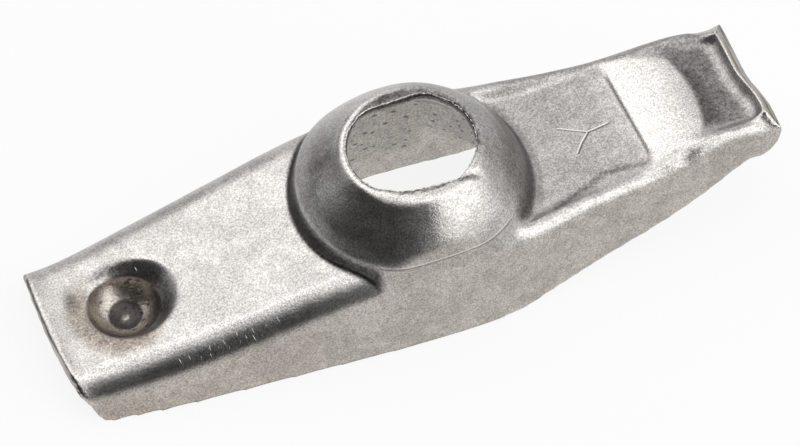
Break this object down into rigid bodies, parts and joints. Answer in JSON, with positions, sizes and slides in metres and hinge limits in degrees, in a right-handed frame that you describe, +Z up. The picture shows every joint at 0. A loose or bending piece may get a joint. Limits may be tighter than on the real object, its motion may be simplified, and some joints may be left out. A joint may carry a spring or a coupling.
{
  "type": "pressed steel rocker arm",
  "caption": "Pressed steel rocker arm with a pushrod socket, a domed ball seat with a stud slot and a coined valve pad, folded to a channel.",
  "frame": {"origin": "in the plane of the flange edges, under the middle of the stud slot in the domed seat", "axes": "+X along the arm from the pushrod socket to the valve pad, +Y across the arm, +Z up out of the domed side"},
  "size_m": [0.0806, 0.0248, 0.0187],
  "materials": {
    "pressed_steel": "satin, tumbled"
  },
  "bodies": {
    "root": {"rocker_arm": "pressed_steel"}
  },
  "joints": []
}
